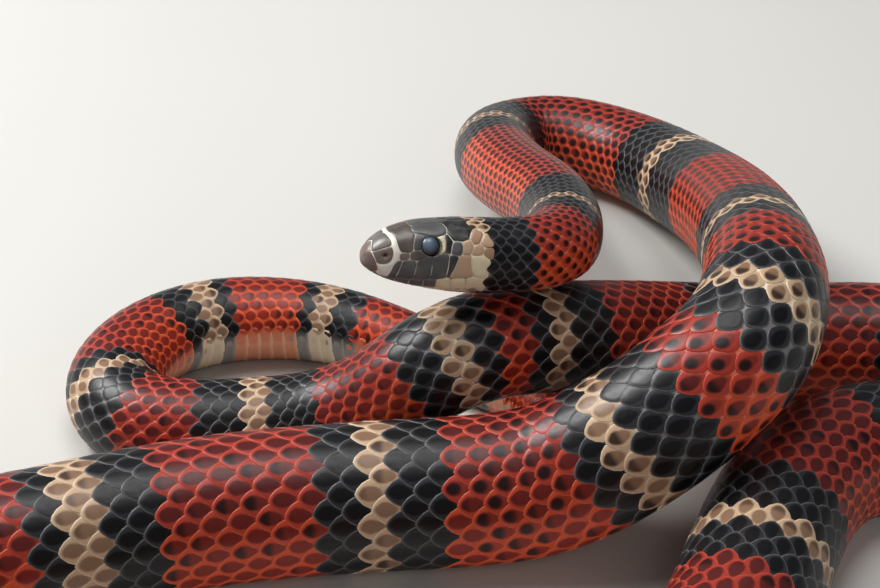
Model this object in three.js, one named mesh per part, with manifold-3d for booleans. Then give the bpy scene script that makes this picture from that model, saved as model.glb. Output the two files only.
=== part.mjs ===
// A milk snake, life-size, lying in loose crossing coils with its head resting over its own body.
// Millimetres, +Z up. The origin is on the floor, under the middle of the coils.
import * as THREE from 'three';
import { mergeVertices } from 'three/addons/utils/BufferGeometryUtils.js';
import Module from 'manifold-3d';

const wasm = await Module();
wasm.setup();

// Thin cut between two neighbouring solids.
const CUT = 0.3;
// Rings of the body: how far apart they stand, and how many corners each has.
const RING_STEP = 6;
const RING_SIDES = 16;
// Proportions of the body's cross-section, as shares of its girth.
const HALF_WIDTH = 0.505;
const BACK_RISE = 0.5;
const BELLY_DROP = 0.44;
const BELLY_SQUARENESS = 2.6;
// How far the belly is pressed flat where it lies on the floor.
const BELLY_FLAT = 0.25;
// Spacing of the worked-out centre line, the passes that even out its bends, and how finely the curve
// through each point of the route is measured.
const LINE_STEP = 1;
const LINE_PASSES = 40;
const MEASURES_PER_POINT = 40;
// Corners closer than this are one corner.
const SAME_POINT = 1e-4;

// Head, measured back from the tip of the snout.
const HEAD_LENGTH = 27.5;
const HEAD_SIDES = 24;
const HEAD_SQUARENESS = 2.5;
const HEAD_YAW = 16;
const HEAD_PITCH = 11;
const HEAD_ROLL = 13;
const MOUTH_CORNER = 21.5;
const MOUTH_DROP = 3.4;
// The mouth line is lowest a little way behind the snout, and rises from there to both ends.
const MOUTH_LOWEST = 5;
const MOUTH_RISE_AT_SNOUT = 0.6;
const MOUTH_RISE_AT_CORNER = 1.7;
// The cut between the lips starts ahead of the snout, spans the head and slants back through the throat.
const MOUTH_AHEAD = 2;
const MOUTH_SPAN = 24;
const THROAT_SLANT = 1.5;
const THROAT_DEPTH = 12;
const EYE_BACK = 11.7;
const EYE_OUT = 4.6;
const EYE_UP = 3.3;
const EYE_RADIUS = 2.15;
const EYE_SEGMENTS = 16;
const EYE_RINGS = 12;

// Half width, rise of the crown and drop of the chin at distances behind the snout tip.
const headStations = [
  [0.35, 1.5, 0.9, 1.9],
  [1.2, 2.8, 2.2, 2.8],
  [2.6, 3.8, 3.6, 3.6],
  [4.5, 4.7, 4.8, 4.4],
  [7.5, 5.5, 6, 5.2],
  [10.5, 6.1, 6.7, 5.8],
  [14, 6.8, 7, 6.2],
  [18, 7.4, 7.2, 6.6],
  [21.5, 7.7, 7.3, 6.7],
  [24.5, 7.7, 7.4, 6.7],
  [HEAD_LENGTH, 7.5, 7.4, 6.5],
];

// Girth of the body at distances behind the head: slender neck, heavy middle, long thin tail.
const girthStations = [
  [0, 14.8], [40, 15.8], [90, 17.8], [130, 19.4], [180, 21.4], [250, 22.6], [290, 26], [325, 28.6],
  [400, 28.2], [480, 27], [820, 26.9], [890, 25.2], [940, 23.8], [1000, 22], [1050, 20.4],
  [1090, 19.5], [1130, 18.7], [1160, 16.4], [1187, 12.8], [1215, 9.5], [1240, 7.3], [1265, 5.8],
  [1300, 4.2], [1340, 2],
];

// How far the body is rolled about its own length, in degrees: its belly shows along the left loop.
const rollStations = [
  [0, -HEAD_ROLL], [40, 0], [1040, 0], [1075, -22], [1105, -48], [1150, -64], [1187, -68],
  [1215, -48], [1240, 0], [1340, 0],
];

// Where the coils' own start lies, to bring the middle of their box over the origin.
const COILS_AT = [-0.4, -1.5];

// The body's route: x, y and how high its belly is lifted off the floor.
const neckRoute = [
  [43.8, 2.8, 39.7], [49.5, 4.4, 38.9], [54, 8, 37.5], [56.5, 18, 34.5], [57, 31, 30.5],
  [54.5, 46, 26], [50, 61, 20.5], [46, 79, 14], [45, 98, 7],
];
const backLoopRoute = [
  [49.5, 112, 1], [58, 115.5, 0], [68, 111.5, 0], [78, 103, 0.6], [88, 80, 6.5], [94, 47, 18],
  [95, 15, 28], [93, -6, 31], [88.5, -17.5, 28.8], [81, -23, 23.5], [72.5, -26, 16.5], [63, -26, 8.5],
];
const frontRoute = [
  [52, -25.5, 2.2], [39, -26, 0.2], [25, -27, 0], [6, -29, 0], [-11, -32, 0], [-29, -37, 0],
  [-47, -43, 0], [-75, -48, 0],
];
const returnRoute = [
  [-67, -107, 0], [-22, -101, 0], [22, -96, 0], [57, -88, 0], [79, -72, 0], [91, -43, 0], [96, -30, 0],
  [102.5, -19, 0], [111, -12, 0],
];
const middleRoute = [
  [107, 27, 0], [92, 27, 0.4], [79, 23.5, 3.5], [67, 16, 9.1], [55.5, 8, 14.5], [45.5, 3.4, 17],
  [36.7, -1.5, 18], [28.5, -2.6, 13.5], [20, -2.2, 6.5], [8, -0.8, 1],
];
const leftLoopRoute = [
  [-6.5, -1.3, 0], [-20, -1, 0], [-30, 4, 0], [-33.3, 13.5, 0], [-30, 24.8, 0], [-22, 33.5, 0],
  [-12, 38, 0], [-1, 39.3, 0], [9.6, 37.6, 0], [19, 33.8, 0], [28.4, 29, 0], [37.6, 23.8, 0],
];
const tailRoute = [
  [47.5, 16, 0], [56.5, 8.5, 0], [55, -1.5, 0], [41, -7.5, 0], [20.5, -11.6, 0], [-1.5, -14.4, 0],
  [-21.5, -16, 0], [-39.5, -18, 0], [-55.5, -19.5, 0], [-69.5, -20.5, 0],
];

// Points of a turn lying flat on the floor, from one bearing to another in degrees.
function turn(centreX, centreY, radiusX, radiusY, from, to, count) {
  return Array.from({ length: count }, (_, i) => {
    const bearing = THREE.MathUtils.degToRad(from + (to - from) * i / (count - 1));
    return [centreX + radiusX * Math.cos(bearing), centreY + radiusY * Math.sin(bearing), 0];
  });
}
const farTurn = turn(-103, -77, 34, 30, 90, 270, 5);
const sideTurn = turn(121, 8.5, 18, 18, -80, 85, 5);

const route = [
  ...neckRoute, ...backLoopRoute, ...frontRoute, ...farTurn, ...returnRoute, ...sideTurn,
  ...middleRoute, ...leftLoopRoute, ...tailRoute,
];

// Where the body is parted, as distances behind the head: at the middle of each tight turn and between.
const NECK_END = 55;
const trunkCuts = [NECK_END, 128, 215, 300, 385, 470, 546, 640, 750, 830, 885, 975, 1087, 1165];
const TAIL_TURN = 1207;

function interpolate(stations, at, column) {
  let i = 1;
  while (i < stations.length - 1 && stations[i][0] < at) i += 1;
  const [before, after] = [stations[i - 1], stations[i]];
  const share = THREE.MathUtils.clamp((at - before[0]) / (after[0] - before[0]), 0, 1);
  return before[column] + (after[column] - before[column]) * share;
}

// Averages each sample with its neighbours, keeping both ends.
function evenOut(samples, passes) {
  let now = samples;
  for (let pass = 0; pass < passes; pass += 1) {
    now = now.map((value, i) => (i === 0 || i === now.length - 1
      ? value
      : value.map((part, k) => (now[i - 1][k] + 2 * part + now[i + 1][k]) / 4)));
  }
  return now;
}

// The centre line: evenly spaced samples of place and girth.
function centreLine() {
  const curve = new THREE.CatmullRomCurve3(route.map((p) => new THREE.Vector3(...p)), false, 'centripetal');
  curve.arcLengthDivisions = route.length * MEASURES_PER_POINT;
  const steps = Math.round(curve.getLength() / LINE_STEP);
  const samples = [];
  for (let i = 0; i <= steps; i += 1) {
    const at = curve.getPointAt(i / steps);
    samples.push([at.x, at.y, at.z, interpolate(girthStations, i * LINE_STEP, 1)]);
  }
  return evenOut(samples, LINE_PASSES).map(([x, y, lift, girth]) => ({
    at: new THREE.Vector3(x, y, Math.max(lift, 0) + BELLY_DROP * girth - BELLY_FLAT),
    girth,
  }));
}
const line = centreLine();
const bodyLength = (line.length - 1) * LINE_STEP;

function sampleLine(distance) {
  const place = THREE.MathUtils.clamp(distance / LINE_STEP, 0, line.length - 1);
  const i = Math.min(Math.floor(place), line.length - 2);
  const share = place - i;
  const at = line[i].at.clone().lerp(line[i + 1].at, share);
  const girth = THREE.MathUtils.lerp(line[i].girth, line[i + 1].girth, share);
  const ahead = line[Math.min(i + 2, line.length - 1)].at;
  const tangent = ahead.clone().sub(line[Math.max(i - 1, 0)].at).normalize();
  return { at, girth, tangent };
}

function signedPower(value, power) {
  return Math.sign(value) * Math.abs(value) ** power;
}

// The direction that the body leaves the head in, and the head's own turn.
const headTurn = new THREE.Euler(
  THREE.MathUtils.degToRad(HEAD_ROLL),
  THREE.MathUtils.degToRad(-HEAD_PITCH),
  THREE.MathUtils.degToRad(180 + HEAD_YAW),
  'ZYX',
);
const offHead = new THREE.Vector3(-1, 0, 0).applyEuler(headTurn);

// One ring round the body, its belly kept level with the floor. A shift moves it along the body.
function bodyRing(distance, shift = 0) {
  const sample = sampleLine(distance);
  const { girth } = sample;
  const tangent = distance === 0 ? offHead : sample.tangent;
  const at = sample.at.addScaledVector(tangent, shift);
  const left = new THREE.Vector3(0, 0, 1).cross(tangent).normalize();
  const up = tangent.clone().cross(left);
  const roll = THREE.MathUtils.degToRad(interpolate(rollStations, distance, 1));
  left.applyAxisAngle(tangent, roll);
  up.applyAxisAngle(tangent, roll);
  return Array.from({ length: RING_SIDES }, (_, k) => {
    const angle = 2 * Math.PI * (k + 0.5) / RING_SIDES;
    const power = Math.cos(angle) > 0 ? 1 : 2 / BELLY_SQUARENESS;
    const rise = Math.cos(angle) > 0 ? BACK_RISE : BELLY_DROP;
    const point = at.clone()
      .addScaledVector(left, girth * HALF_WIDTH * signedPower(Math.sin(angle), power))
      .addScaledVector(up, girth * rise * signedPower(Math.cos(angle), power));
    point.z = Math.max(point.z, 0);
    return point;
  });
}

// A closed skin over rings of equal size, from the first to the last.
function loft(rings) {
  const sides = rings[0].length;
  const middle = (ring) => ring.reduce((sum, p) => sum.add(p), new THREE.Vector3()).divideScalar(sides);
  const points = [...rings.flat(), middle(rings[0]), middle(rings[rings.length - 1])];
  const first = points.length - 2;
  const last = points.length - 1;
  const faces = [];
  for (let k = 0; k < sides; k += 1) {
    const next = (k + 1) % sides;
    for (let i = 0; i < rings.length - 1; i += 1) {
      const a = i * sides;
      const b = a + sides;
      faces.push(a + k, b + k, b + next, a + k, b + next, a + next);
    }
    const end = (rings.length - 1) * sides;
    faces.push(first, k, next, last, end + next, end + k);
  }
  const geometry = new THREE.BufferGeometry();
  geometry.setAttribute('position', new THREE.Float32BufferAttribute(points.flatMap((p) => p.toArray()), 3));
  geometry.setIndex(faces);
  return geometry;
}

function bodyLengthBetween(from, to) {
  const count = Math.max(2, Math.round((to - from) / RING_STEP));
  const rings = [bodyRing(from, CUT / 2)];
  for (let i = 1; i < count; i += 1) rings.push(bodyRing(from + (to - from) * i / count));
  rings.push(bodyRing(to, -CUT / 2));
  return loft(rings);
}

// One ring of the head, facing +X, with the snout at x = HEAD_LENGTH and the neck at x = 0.
function headRing(back) {
  const halfWidth = interpolate(headStations, back, 1);
  const crown = interpolate(headStations, back, 2);
  const chin = interpolate(headStations, back, 3);
  return Array.from({ length: HEAD_SIDES }, (_, k) => {
    const angle = 2 * Math.PI * (k + 0.5) / HEAD_SIDES;
    const rise = Math.cos(angle) > 0 ? crown : chin;
    const power = 2 / HEAD_SQUARENESS;
    return new THREE.Vector3(
      HEAD_LENGTH - back,
      halfWidth * signedPower(Math.sin(angle), power),
      rise * signedPower(Math.cos(angle), power),
    );
  });
}

function asManifold(geometry) {
  const plain = geometry.clone();
  plain.deleteAttribute('normal');
  plain.deleteAttribute('uv');
  const merged = mergeVertices(plain, SAME_POINT);
  return new wasm.Manifold(new wasm.Mesh({
    numProp: 3,
    vertProperties: new Float32Array(merged.attributes.position.array),
    triVerts: new Uint32Array(merged.index.array),
  }));
}

function asGeometry(solid) {
  const mesh = solid.getMesh();
  const geometry = new THREE.BufferGeometry();
  geometry.setAttribute('position', new THREE.Float32BufferAttribute(mesh.vertProperties, 3));
  geometry.setIndex(Array.from(mesh.triVerts));
  return geometry;
}

// The thin gap between the lips: it rises gently to the snout and to the corner of the mouth, and drops
// through the throat behind that.
function mouthCut() {
  const half = CUT / 2;
  const tip = HEAD_LENGTH + MOUTH_AHEAD;
  const tipHeight = -MOUTH_DROP + MOUTH_RISE_AT_SNOUT;
  const lowest = HEAD_LENGTH - MOUTH_LOWEST;
  const corner = HEAD_LENGTH - MOUTH_CORNER;
  const cornerHeight = -MOUTH_DROP + MOUTH_RISE_AT_CORNER;
  const outline = new THREE.Shape([
    new THREE.Vector2(tip, tipHeight - half),
    new THREE.Vector2(tip, tipHeight + half),
    new THREE.Vector2(lowest, -MOUTH_DROP + half),
    new THREE.Vector2(corner, cornerHeight + half),
    new THREE.Vector2(corner - CUT - THROAT_SLANT, -THROAT_DEPTH),
    new THREE.Vector2(corner - THROAT_SLANT, -THROAT_DEPTH),
    new THREE.Vector2(corner + CUT, cornerHeight - half),
    new THREE.Vector2(lowest, -MOUTH_DROP - half),
  ]);
  const geometry = new THREE.ExtrudeGeometry(outline, { depth: MOUTH_SPAN, bevelEnabled: false });
  geometry.rotateX(Math.PI / 2);
  geometry.translate(0, MOUTH_SPAN / 2, 0);
  return geometry;
}

function eyeGeometry(radius, side) {
  const geometry = new THREE.SphereGeometry(radius, EYE_SEGMENTS, EYE_RINGS);
  geometry.rotateX(Math.PI / 2);
  geometry.translate(HEAD_LENGTH - EYE_BACK, side * EYE_OUT, EYE_UP);
  return geometry;
}

// The head whole, then parted along the mouth and hollowed for the eyes.
function headPieces() {
  const backs = headStations.map(([back]) => Math.min(back, HEAD_LENGTH - CUT / 2)).reverse();
  const rings = backs.map(headRing);
  let skull = asManifold(loft(rings)).subtract(asManifold(mouthCut()));
  for (const side of [1, -1]) skull = skull.subtract(asManifold(eyeGeometry(EYE_RADIUS + CUT, side)));
  const pieces = skull.decompose().sort((a, b) => b.volume() - a.volume());
  return { head: asGeometry(pieces[0]), jaw: asGeometry(pieces[1]) };
}

const scales = new THREE.MeshStandardMaterial({ color: 0x8f3324, roughness: 0.38 });
const headPlates = new THREE.MeshStandardMaterial({ color: 0x4b4644, roughness: 0.35 });
const lips = new THREE.MeshStandardMaterial({ color: 0xc9b79a, roughness: 0.4 });
const eyeCap = new THREE.MeshStandardMaterial({ color: 0x3c4757, roughness: 0.12 });

function named(name, geometry, material) {
  geometry.computeVertexNormals();
  const mesh = new THREE.Mesh(geometry, material.clone());
  mesh.name = name;
  return mesh;
}

const snake = new THREE.Group();
snake.position.set(...COILS_AT, 0);
snake.add(named('neck', bodyLengthBetween(0, NECK_END), scales));
for (let i = 1; i < trunkCuts.length; i += 1) {
  const name = `trunk_${String(i).padStart(2, '0')}`;
  snake.add(named(name, bodyLengthBetween(trunkCuts[i - 1], trunkCuts[i]), scales));
}
snake.add(named('tail_base', bodyLengthBetween(trunkCuts[trunkCuts.length - 1], TAIL_TURN), scales));
snake.add(named('tail', bodyLengthBetween(TAIL_TURN, bodyLength), scales));

const headGroup = new THREE.Group();
const { head, jaw } = headPieces();
headGroup.add(named('head', head, headPlates));
headGroup.add(named('lower_jaw', jaw, lips));
headGroup.add(named('eye_left', eyeGeometry(EYE_RADIUS, 1), eyeCap));
headGroup.add(named('eye_right', eyeGeometry(EYE_RADIUS, -1), eyeCap));
headGroup.position.copy(line[0].at);
headGroup.rotation.copy(headTurn);
snake.add(headGroup);

export default snake;
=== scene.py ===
import math

import bpy
import numpy as np
from mathutils import Euler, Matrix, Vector
from mathutils.geometry import delaunay_2d_cdt
from mathutils.kdtree import KDTree


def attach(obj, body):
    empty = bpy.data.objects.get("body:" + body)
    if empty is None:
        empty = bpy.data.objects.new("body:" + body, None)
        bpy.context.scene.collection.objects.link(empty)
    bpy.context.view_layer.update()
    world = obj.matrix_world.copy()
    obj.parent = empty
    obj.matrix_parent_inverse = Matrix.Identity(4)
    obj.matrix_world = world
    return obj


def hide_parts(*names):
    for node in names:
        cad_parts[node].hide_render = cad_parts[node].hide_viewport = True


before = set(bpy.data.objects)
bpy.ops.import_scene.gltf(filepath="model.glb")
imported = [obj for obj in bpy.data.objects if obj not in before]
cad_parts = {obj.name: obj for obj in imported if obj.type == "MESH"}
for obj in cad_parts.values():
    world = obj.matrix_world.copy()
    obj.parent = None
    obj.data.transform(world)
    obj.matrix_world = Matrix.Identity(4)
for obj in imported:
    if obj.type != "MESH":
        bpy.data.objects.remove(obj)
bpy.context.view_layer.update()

# The camera stands in front of the coils, a little over half a metre away, and looks down on them
# through a long lens.
LOOK_AT = Vector((0.0321, 0.0590, 0.0))
CAMERA_DISTANCE = 0.560
CAMERA_RISE = math.radians(33)
FOCAL_LENGTH = 105.4

camera = bpy.data.objects.new("camera", bpy.data.cameras.new("camera"))
camera.location = LOOK_AT + CAMERA_DISTANCE * Vector((0, -math.cos(CAMERA_RISE), math.sin(CAMERA_RISE)))
camera.rotation_euler = (math.pi / 2 - CAMERA_RISE, 0, 0)
camera.data.lens = FOCAL_LENGTH
camera.data.sensor_width = 36
camera.data.clip_start = 0.01
bpy.context.collection.objects.link(camera)
bpy.context.scene.camera = camera

# The body is one long muscular tube, slender at the neck, heaviest a third of the way back and
# drawn out to a fine tail. Its belly line is a smooth curve that crosses over itself three times.
# The routes give places on the belly line in mm, from the head to the tip of the tail.
COILS_AT = (-0.4, -1.5)
BELLY_FLAT = 0.25
HALF_WIDTH, BACK_RISE, BELLY_DROP = 0.505, 0.5, 0.44
MEASURES_PER_POINT = 40
LINE_PASSES = 40
BODY_SQUARENESS = 2.6


def turn(centre_x, centre_y, radius_x, radius_y, start, end, count):
    """Points of a turn lying flat on the floor, between two bearings in degrees."""
    bearings = np.radians(np.linspace(start, end, count))
    return [(centre_x + radius_x * math.cos(b), centre_y + radius_y * math.sin(b), 0) for b in bearings]


neck_route = [
    (43.8, 2.8, 39.7), (49.5, 4.4, 38.9), (54, 8, 37.5), (56.5, 18, 34.5), (57, 31, 30.5),
    (54.5, 46, 26), (50, 61, 20.5), (46, 79, 14), (45, 98, 7),
]
back_loop_route = [
    (49.5, 112, 1), (58, 115.5, 0), (68, 111.5, 0), (78, 103, 0.6), (88, 80, 6.5), (94, 47, 18),
    (95, 15, 28), (93, -6, 31), (88.5, -17.5, 28.8), (81, -23, 23.5), (72.5, -26, 16.5), (63, -26, 8.5),
]
front_route = [
    (52, -25.5, 2.2), (39, -26, 0.2), (25, -27, 0), (6, -29, 0), (-11, -32, 0), (-29, -37, 0),
    (-47, -43, 0), (-75, -48, 0),
]
far_turn = turn(-103, -77, 34, 30, 90, 270, 5)
return_route = [
    (-67, -107, 0), (-22, -101, 0), (22, -96, 0), (57, -88, 0), (79, -72, 0), (91, -43, 0),
    (96, -30, 0), (102.5, -19, 0), (111, -12, 0),
]
side_turn = turn(121, 8.5, 18, 18, -80, 85, 5)
middle_route = [
    (107, 27, 0), (92, 27, 0.4), (79, 23.5, 3.5), (67, 16, 9.1), (55.5, 8, 14.5), (45.5, 3.4, 17),
    (36.7, -1.5, 18), (28.5, -2.6, 13.5), (20, -2.2, 6.5), (8, -0.8, 1),
]
left_loop_route = [
    (-6.5, -1.3, 0), (-20, -1, 0), (-30, 4, 0), (-33.3, 13.5, 0), (-30, 24.8, 0), (-22, 33.5, 0),
    (-12, 38, 0), (-1, 39.3, 0), (9.6, 37.6, 0), (19, 33.8, 0), (28.4, 29, 0), (37.6, 23.8, 0),
]
tail_route = [
    (47.5, 16, 0), (56.5, 8.5, 0), (55, -1.5, 0), (41, -7.5, 0), (20.5, -11.6, 0), (-1.5, -14.4, 0),
    (-21.5, -16, 0), (-39.5, -18, 0), (-55.5, -19.5, 0), (-69.5, -20.5, 0),
]
route = (neck_route + back_loop_route + front_route + far_turn + return_route + side_turn
         + middle_route + left_loop_route + tail_route)

# Distance behind the head and girth there, then distance and roll of the body in degrees.
girth_stations = [
    (0, 14.8), (40, 15.8), (90, 17.8), (130, 19.4), (180, 21.4), (250, 22.6), (290, 26), (325, 28.6),
    (400, 28.2), (480, 27), (820, 26.9), (890, 25.2), (940, 23.8), (1000, 22), (1050, 20.4),
    (1090, 19.5), (1130, 18.7), (1160, 16.4), (1187, 12.8), (1215, 9.5), (1240, 7.3), (1265, 5.8),
    (1300, 4.2), (1340, 2),
]
roll_stations = [
    (0, -13), (40, 0), (1040, 0), (1075, -22), (1105, -48), (1150, -64), (1187, -68), (1215, -48),
    (1240, 0), (1340, 0),
]


def curve_through(points):
    """Evenly spaced samples, about 1 mm apart, of a centripetal curve through the points."""
    p = np.array(points, float)
    p = np.vstack([2 * p[0] - p[1], p, 2 * p[-1] - p[-2]])
    spans = len(points) - 1
    t = np.linspace(0, spans, len(points) * MEASURES_PER_POINT + 1)
    i = np.minimum(t.astype(int), spans - 1)
    w = (t - i)[:, None]
    p0, p1, p2, p3 = (p[i + k] for k in range(4))
    pairs = ((p0, p1), (p1, p2), (p2, p3))
    d0, d1, d2 = (np.linalg.norm(b - a, axis=1)[:, None] ** 0.5 for a, b in pairs)
    leave = ((p1 - p0) / d0 - (p2 - p0) / (d0 + d1) + (p2 - p1) / d1) * d1
    reach = ((p2 - p1) / d1 - (p3 - p1) / (d1 + d2) + (p3 - p2) / d2) * d1
    curve = ((2 * w**3 - 3 * w**2 + 1) * p1 + (w**3 - 2 * w**2 + w) * leave
             + (3 * w**2 - 2 * w**3) * p2 + (w**3 - w**2) * reach)
    run = np.concatenate([[0], np.cumsum(np.linalg.norm(np.diff(curve, axis=0), axis=1))])
    even = np.linspace(0, run[-1], round(run[-1]) + 1)
    return np.column_stack([np.interp(even, run, curve[:, c]) for c in range(3)])


def between(stations, at):
    """Straight-line value between the stations at a distance, or at many."""
    table = np.array(stations, float)
    return np.interp(at, table[:, 0], table[:, 1])


samples = curve_through(route)
BODY_LENGTH = len(samples) - 1
run = np.arange(BODY_LENGTH + 1.0)
samples = np.column_stack([samples, between(girth_stations, run)])
for _ in range(LINE_PASSES):
    samples[1:-1] = (samples[:-2] + 2 * samples[1:-1] + samples[2:]) / 4
girth = samples[:, 3]
centre = samples[:, :3] + np.array([*COILS_AT, 0])
centre[:, 2] = np.maximum(samples[:, 2], 0) + BELLY_DROP * girth - BELLY_FLAT

# The head is a long blunt wedge a little wider than the neck, flat on top and held level over the
# coils. Its sections are squarish, and pass into the body's own behind the jaws.
HEAD_LENGTH = 27.5
HEAD_TURN = Euler((math.radians(13), math.radians(-11), math.radians(196)), "XYZ").to_matrix()
HEAD_SQUARENESS = 2.5
TOTAL = HEAD_LENGTH + BODY_LENGTH
# Back from the tip of the snout: half width, rise of the crown, drop of the chin.
head_stations = [
    (0, 0.02, -0.45, 0.55), (0.35, 1.5, 0.9, 1.9), (1.2, 2.8, 2.2, 2.8), (2.6, 3.8, 3.6, 3.6),
    (4.5, 4.7, 4.8, 4.4), (7.5, 5.5, 6, 5.2), (10.5, 6.1, 6.7, 5.8), (14, 6.8, 7, 6.2),
    (18, 7.4, 7.2, 6.6), (21.5, 7.7, 7.3, 6.7), (24.5, 7.7, 7.4, 6.7), (HEAD_LENGTH, 7.5, 7.4, 6.5),
]
SECTION_BLENDS = (19, 32)
COAT_SHARE = 0.015
HEAD_COAT = 0.26
SECTION_POINTS = 361


def smooth_between(stations, at, column):
    """Like between, with no corner at a station and no overshoot. Runs on the root of the distance."""
    table = np.array(stations, float)
    x, y = np.sqrt(table[:, 0]), table[:, column]
    step = np.diff(x)
    slope = np.diff(y) / step
    lean = np.zeros(len(x))
    lean[0], lean[-1] = slope[0], slope[-1]
    for k in range(1, len(x) - 1):
        if slope[k - 1] * slope[k] > 0:
            near, far = 2 * step[k] + step[k - 1], step[k] + 2 * step[k - 1]
            lean[k] = (near + far) / (near / slope[k - 1] + far / slope[k])
    root = math.sqrt(at)
    k = int(np.clip(np.searchsorted(x, root) - 1, 0, len(x) - 2))
    t = (root - x[k]) / step[k]
    return ((2 * t**3 - 3 * t**2 + 1) * y[k] + (t**3 - 2 * t**2 + t) * step[k] * lean[k]
            + (3 * t**2 - 2 * t**3) * y[k + 1] + (t**3 - t**2) * step[k] * lean[k + 1])


def section(along):
    """The skin's section at a distance from the snout: half width, rise, drop, power above and below."""
    if along < HEAD_LENGTH:
        half, rise, drop = (smooth_between(head_stations, along, c) for c in (1, 2, 3))
        coat = HEAD_COAT * min(1, along)
    else:
        around = float(np.interp(along - HEAD_LENGTH, run, girth))
        half, rise, drop = HALF_WIDTH * around, BACK_RISE * around, BELLY_DROP * around
        coat = COAT_SHARE * around
    head_to, body_from = SECTION_BLENDS
    body_like = float(np.clip((along - head_to) / (body_from - head_to), 0, 1))
    head_power = 2 / HEAD_SQUARENESS
    back_power = head_power + (1 - head_power) * body_like
    belly_power = head_power + (2 / BODY_SQUARENESS - head_power) * body_like
    return half - coat, rise - coat, drop - coat, back_power, belly_power


def ring_across(along, shares):
    """Sideways and upward places on the section, at equal shares of the way round from the back."""
    half, rise, drop, back_power, belly_power = section(along)
    angle = np.linspace(0, math.pi, SECTION_POINTS)
    upper = np.cos(angle) > 0
    power = np.where(upper, back_power, belly_power)
    out = half * np.abs(np.sin(angle)) ** power
    high = np.where(upper, rise, -drop) * np.abs(np.cos(angle)) ** power
    way = np.concatenate([[0], np.cumsum(np.hypot(np.diff(out), np.diff(high)))])
    way *= 0.5 / way[-1]
    wrapped = (np.asarray(shares) + 0.5) % 1 - 0.5
    return np.sign(wrapped) * np.interp(abs(wrapped), way, out), np.interp(abs(wrapped), way, high)


def unit(vectors):
    return vectors / np.maximum(np.linalg.norm(vectors, axis=-1), 1e-9)[..., None]


places = np.arange(BODY_LENGTH + 1)
tangent = centre[np.minimum(places + 2, BODY_LENGTH)] - centre[np.maximum(places - 1, 0)]
tangent[0] = HEAD_TURN @ Vector((-1, 0, 0))
tangent = unit(tangent)
side = unit(np.cross(tangent, [0, 0, 1]))
upward = np.cross(side, tangent)
roll = np.radians(between(roll_stations, run))[:, None]
side, upward = (side * np.cos(roll) + np.cross(tangent, side) * np.sin(roll),
                upward * np.cos(roll) + np.cross(tangent, upward) * np.sin(roll))


def skin_ring(along, shares):
    """Places in mm on the skin at a distance from the snout. A positive share is the animal's left."""
    out, high = ring_across(along, shares)
    if along < HEAD_LENGTH:
        turned = np.array(HEAD_TURN)
        points = np.column_stack([np.full_like(out, HEAD_LENGTH - along), out, high])
        return centre[0] + points @ turned.T
    behind = along - HEAD_LENGTH
    at, sideways, up = (np.array([np.interp(behind, run, v[:, c]) for c in range(3)])
                        for v in (centre, side, upward))
    points = at + out[:, None] * sideways + high[:, None] * up
    points[:, 2] = np.maximum(points[:, 2], BELLY_FLAT)
    return points


NOSTRIL_AT, NOSTRIL_SHARE, NOSTRIL_RADIUS, NOSTRIL_DEPTH = 3.5, 0.216, 0.42, 0.8
SNOUT_ROUND = 25
# Creases begin where a bend leaves the skin less than the first share of its length.
GATHERED_BELOW, GATHERED_FULLY = 0.66, 0.3
CREASE_STEP, CREASE_DEPTH = 3.6, 0.3
CREASE_WANDER, CREASE_WAVES = 1.4, 9
CREASES_FROM = 60


def grid_of_skin(alongs, shares):
    """Rings of the skin from head to tail, with two nostrils, and creases where a bend gathers it."""
    alongs, shares = np.asarray(alongs), np.asarray(shares)
    grid = np.array([skin_ring(a, shares) for a in alongs])
    off = np.hypot((alongs[:, None] - NOSTRIL_AT) / NOSTRIL_RADIUS,
                   (abs(shares)[None] - NOSTRIL_SHARE) * SNOUT_ROUND / NOSTRIL_RADIUS)
    pit = NOSTRIL_DEPTH * np.exp(-off**3) * np.sign(shares)[None]
    grid = grid - pit[:, :, None] * np.array(HEAD_TURN @ Vector((0, 1, 0)))
    lengthwise = np.gradient(grid, axis=0)
    stretched = np.linalg.norm(lengthwise, axis=2) / np.gradient(alongs)[:, None]
    gathered = np.clip((GATHERED_BELOW - stretched) / (GATHERED_BELOW - GATHERED_FULLY), 0, 1)
    gathered *= (alongs > CREASES_FROM)[:, None]
    wander = CREASE_WANDER * np.sin(CREASE_WAVES * shares)[None]
    wave = np.cos(2 * math.pi * alongs[:, None] / CREASE_STEP + wander)
    outward = unit(np.cross(np.gradient(grid, axis=1), lengthwise))
    return grid - outward * (CREASE_DEPTH * gathered * (0.5 + 0.5 * wave))[:, :, None]


# The bands come in threes: a thin tan ring between two black ones, with red between the threes.
# Each row is the middle of a tan ring behind the head, how far black reaches before and after it, and
# half the ring's width as a share of the girth there.
rings = [
    (-6.7, 30, 11, 0.125), (26, 7, 16, 0.1), (103, 14, 19, 0.11), (181, 18, 22, 0.14),
    (248, 12, 10, 0.09), (282, 10, 9, 0.09), (314, 12, 10, 0.1), (367, 14, 10.5, 0.12),
    (422, 14, 10, 0.125), (477, 14, 11, 0.12), (532, 14, 11, 0.12), (587, 14, 11, 0.12),
    (642, 14, 11, 0.12), (697, 14, 11, 0.12), (752, 14, 11, 0.12), (807, 12, 15, 0.11),
    (860, 8, 12, 0.09), (905, 11, 11, 0.12), (951, 11, 10, 0.085), (996, 10, 7, 0.09),
    (1014, 5, 7, 0.06), (1057, 15, 12, 0.11), (1090, 8, 6, 0.1), (1125, 9, 6, 0.13),
    (1152.5, 6, 8, 0.17), (1187, 7, 6, 0.12), (1214, 6, 5, 0.12), (1239, 5, 5, 0.12),
    (1262, 5, 4, 0.14), (1283, 4, 4, 0.16), (1302, 4, 4, 0.2), (1320, 4, 30, 0.25),
]
RED, BLACK, TAN = 0, 1, 2


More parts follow.
